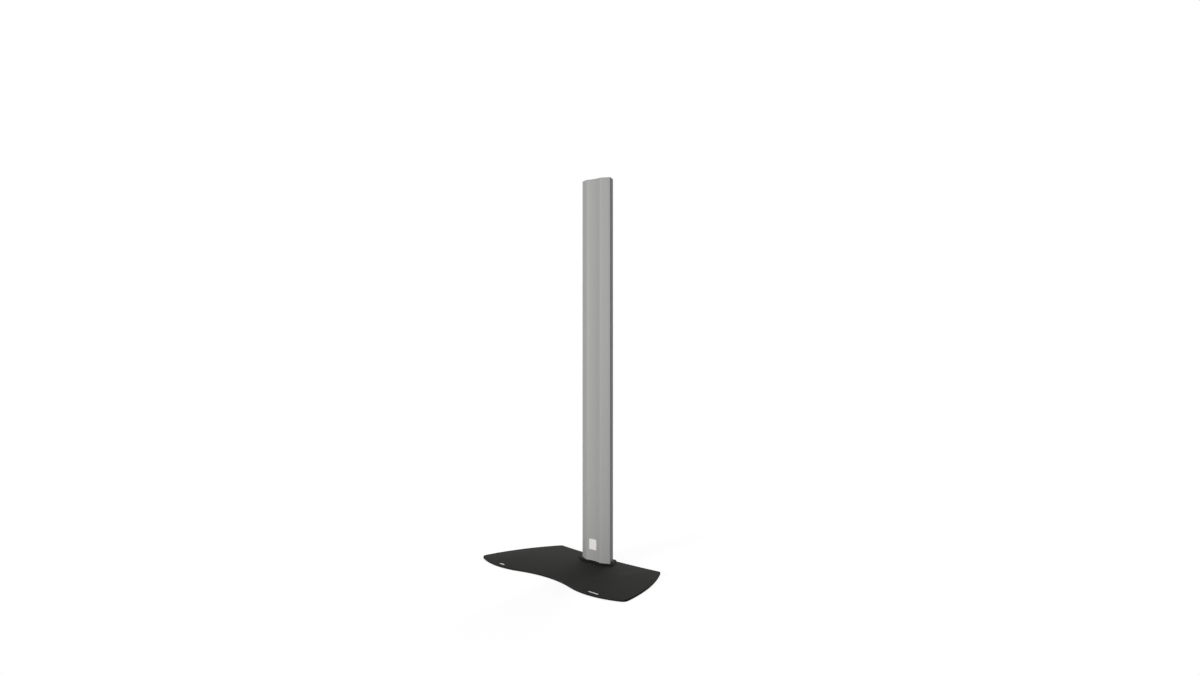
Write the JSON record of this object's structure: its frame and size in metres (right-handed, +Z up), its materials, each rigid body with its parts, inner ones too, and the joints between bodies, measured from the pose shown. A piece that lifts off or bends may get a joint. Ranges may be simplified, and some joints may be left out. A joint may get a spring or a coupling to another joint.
{
  "type": "speaker stand",
  "caption": "Tall two-section column stand for a small loudspeaker: hollow aluminium column with a waved face, pinned and locked together on a thin waved steel base.",
  "frame": {"origin": "on the floor, under the middle of the base's outline, which is also the middle of the whole stand's box", "axes": "+X across the stand to its right as seen from the front, +Y from the waved front edge to the back, +Z up"},
  "size_m": [0.6212, 0.2944, 1.215],
  "materials": {
    "base_paint": "matte powder coat",
    "pad_rubber": "matte",
    "pale_strip": "plain pale film",
    "base_pin_steel": "dull zinc",
    "tab_paint": "black, satin",
    "column_aluminium": "satin anodised",
    "flange_paint": "black, satin",
    "block_plastic": "moulded, matte",
    "joint_pin_steel": "turned, satin",
    "screw_steel": "zinc",
    "bush_brass": "plain",
    "washer_nylon": "natural nylon",
    "lock_steel": "knurled, satin",
    "label_paper": "bare white label"
  },
  "bodies": {
    "base": {"base_plate": "base_paint", "floor_pad_front_left": "pad_rubber", "floor_pad_front_right": "pad_rubber", "floor_pad_front_middle": "pad_rubber", "floor_pad_rear_left": "pad_rubber", "floor_pad_rear_right": "pad_rubber", "pale_strip_left": "pale_strip", "pale_strip_right": "pale_strip", "base_pin_left": "base_pin_steel", "base_pin_right": "base_pin_steel", "base_tab": "tab_paint"},
    "lower_column": {"lower_column": "column_aluminium", "foot_flange": "flange_paint", "socket_block": "block_plastic", "pin_block": "block_plastic", "joint_pin_left": "joint_pin_steel", "joint_pin_right": "joint_pin_steel", "joint_dowel_left": "joint_pin_steel", "joint_dowel_right": "joint_pin_steel", "front_label": "label_paper", "socket_block_screws": "screw_steel", "pin_block_screws": "screw_steel", "flange_screws": "screw_steel", "bottom_lock_bush": "bush_brass", "top_lock_bush": "bush_brass"},
    "upper_column": {"upper_column": "column_aluminium", "joint_block": "block_plastic", "joint_tab": "tab_paint", "top_cap": "column_aluminium", "joint_block_screws": "screw_steel", "tab_screws": "screw_steel", "cap_screws": "screw_steel"},
    "bottom_lock_washer": {"bottom_lock_washer": "washer_nylon"},
    "bottom_lock_screw": {"bottom_lock_screw": "lock_steel"},
    "top_lock_washer": {"top_lock_washer": "washer_nylon"},
    "top_lock_screw": {"top_lock_screw": "lock_steel"}
  },
  "joints": [
    {"name": "lower_column_lift", "type": "slide", "parent": "base", "child": "lower_column", "axis": [0, 0, 1], "range_m": [0, 0.135]},
    {"name": "upper_column_lift", "type": "slide", "parent": "lower_column", "child": "upper_column", "axis": [0, 0, 1], "range_m": [0, 0.134]},
    {"name": "bottom_lock_travel", "type": "slide", "parent": "lower_column", "child": "bottom_lock_washer", "axis": [0, -1, 0], "range_m": [0, 0.005]},
    {"name": "bottom_lock_turn", "type": "hinge", "parent": "bottom_lock_washer", "child": "bottom_lock_screw", "pos_m": [0.01, 0.133, 0.053], "axis": [0, -1, 0], "range_deg": [0, 1445]},
    {"name": "top_lock_travel", "type": "slide", "parent": "lower_column", "child": "top_lock_washer", "axis": [0, -1, 0], "range_m": [0, 0.005]},
    {"name": "top_lock_turn", "type": "hinge", "parent": "top_lock_washer", "child": "top_lock_screw", "pos_m": [0.01, 0.133, 0.5726], "axis": [0, -1, 0], "range_deg": [0, 1445]}
  ],
  "couplings": [
    {"joint": "bottom_lock_turn", "follows": "bottom_lock_travel", "rad_per_m": 5026.5},
    {"joint": "top_lock_turn", "follows": "top_lock_travel", "rad_per_m": 5026.5}
  ]
}
